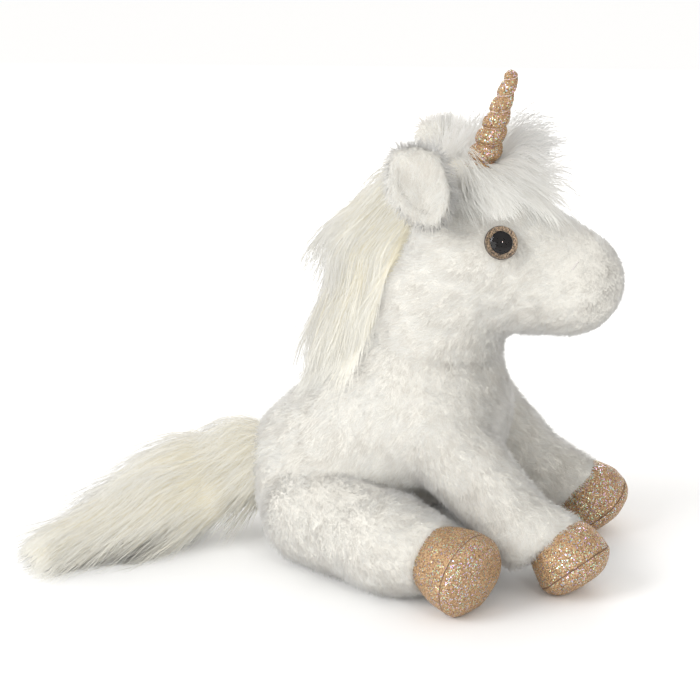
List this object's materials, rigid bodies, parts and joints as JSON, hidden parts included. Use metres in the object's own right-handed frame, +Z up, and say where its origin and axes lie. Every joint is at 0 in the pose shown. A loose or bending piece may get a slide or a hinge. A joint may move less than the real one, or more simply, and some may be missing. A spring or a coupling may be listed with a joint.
{
  "type": "plush unicorn toy",
  "caption": "Sitting white plush unicorn with a long mane and tail, a padded spiral horn, glitter-cloth hooves and a soft turning head.",
  "frame": {"origin": "on the floor plane the toy sits on, at the centre of its bounding box seen from above", "axes": "+Z up; the unicorn faces -Y; +X is its left side; its length from tail to nose runs along Y"},
  "size_m": [0.2286, 0.333, 0.2873],
  "materials": {
    "white_plush": "matte",
    "long_hair": "matte",
    "ear_lining": "matte",
    "fibre_fill": "matte",
    "lining_cloth": "matte",
    "glitter_cloth": "satin",
    "winding_thread": "satin",
    "stitch_thread": "matte",
    "clear_plastic": "gloss",
    "iris_glitter": "gloss",
    "black_plastic": "gloss",
    "white_plastic": "matte"
  },
  "bodies": {
    "torso": {"torso_cover": "white_plush", "torso_stuffing": "fibre_fill", "pellet_bag": "lining_cloth"},
    "neck": {"neck_stuffing": "fibre_fill"},
    "head": {"head_cover": "white_plush", "head_stuffing": "fibre_fill", "mane": "long_hair", "forelock": "long_hair", "horn_cover": "glitter_cloth", "horn_stuffing": "fibre_fill", "horn_winding_thread": "winding_thread", "left_eye_dome": "clear_plastic", "left_eye_iris": "iris_glitter", "left_eye_pupil": "black_plastic", "left_eye_washer": "white_plastic", "left_nostril_stitch": "stitch_thread", "right_eye_dome": "clear_plastic", "right_eye_iris": "iris_glitter", "right_eye_pupil": "black_plastic", "right_eye_washer": "white_plastic", "right_nostril_stitch": "stitch_thread"},
    "left_ear": {"left_ear_plush": "white_plush", "left_ear_lining": "ear_lining"},
    "left_foreleg": {"left_foreleg_cover": "white_plush", "left_foreleg_stuffing": "fibre_fill", "left_fore_hoof_cup": "glitter_cloth", "left_fore_hoof_sole": "glitter_cloth"},
    "left_hind_leg": {"left_hind_leg_cover": "white_plush", "left_hind_leg_stuffing": "fibre_fill", "left_hind_hoof_cup": "glitter_cloth", "left_hind_hoof_sole": "glitter_cloth"},
    "right_ear": {"right_ear_plush": "white_plush", "right_ear_lining": "ear_lining"},
    "right_foreleg": {"right_foreleg_cover": "white_plush", "right_foreleg_stuffing": "fibre_fill", "right_fore_hoof_cup": "glitter_cloth", "right_fore_hoof_sole": "glitter_cloth"},
    "right_hind_leg": {"right_hind_leg_cover": "white_plush", "right_hind_leg_stuffing": "fibre_fill", "right_hind_hoof_cup": "glitter_cloth", "right_hind_hoof_sole": "glitter_cloth"},
    "tail": {"tail": "long_hair"}
  },
  "joints": [
    {"name": "neck_nod", "type": "hinge", "parent": "torso", "child": "neck", "pos_m": [0, -0.0485, 0.088], "axis": [1, 0, 0], "range_deg": [-10, 14], "stiffness_Nm_per_rad": 1.2},
    {"name": "head_turn", "type": "hinge", "parent": "neck", "child": "head", "pos_m": [0, -0.0485, 0.088], "axis": [0, -0.1908, 0.9816], "range_deg": [-35, 35], "stiffness_Nm_per_rad": 0.5},
    {"name": "left_ear_flap", "type": "hinge", "parent": "head", "child": "left_ear", "pos_m": [0.023, -0.06, 0.214], "axis": [0, -1, 0], "range_deg": [-8, 24], "stiffness_Nm_per_rad": 0.03},
    {"name": "left_foreleg_lift", "type": "hinge", "parent": "torso", "child": "left_foreleg", "pos_m": [0.038, -0.0685, 0.082], "axis": [-1, 0, 0], "range_deg": [0, 35], "stiffness_Nm_per_rad": 0.25},
    {"name": "left_hind_leg_spread", "type": "hinge", "parent": "torso", "child": "left_hind_leg", "pos_m": [0.0395, 0.004, 0.0315], "axis": [0, 0, 1], "range_deg": [0, 25], "stiffness_Nm_per_rad": 0.25},
    {"name": "right_ear_flap", "type": "hinge", "parent": "head", "child": "right_ear", "pos_m": [-0.023, -0.06, 0.214], "axis": [0, 1, 0], "range_deg": [-8, 24], "stiffness_Nm_per_rad": 0.03},
    {"name": "right_foreleg_lift", "type": "hinge", "parent": "torso", "child": "right_foreleg", "pos_m": [-0.038, -0.0685, 0.082], "axis": [-1, 0, 0], "range_deg": [0, 35], "stiffness_Nm_per_rad": 0.25},
    {"name": "right_hind_leg_spread", "type": "hinge", "parent": "torso", "child": "right_hind_leg", "pos_m": [-0.0395, 0.004, 0.0315], "axis": [0, 0, -1], "range_deg": [0, 25], "stiffness_Nm_per_rad": 0.25},
    {"name": "tail_swing", "type": "hinge", "parent": "torso", "child": "tail", "pos_m": [0, 0.0495, 0.041], "axis": [0, 0, -1], "range_deg": [0, 62], "stiffness_Nm_per_rad": 0.12}
  ]
}
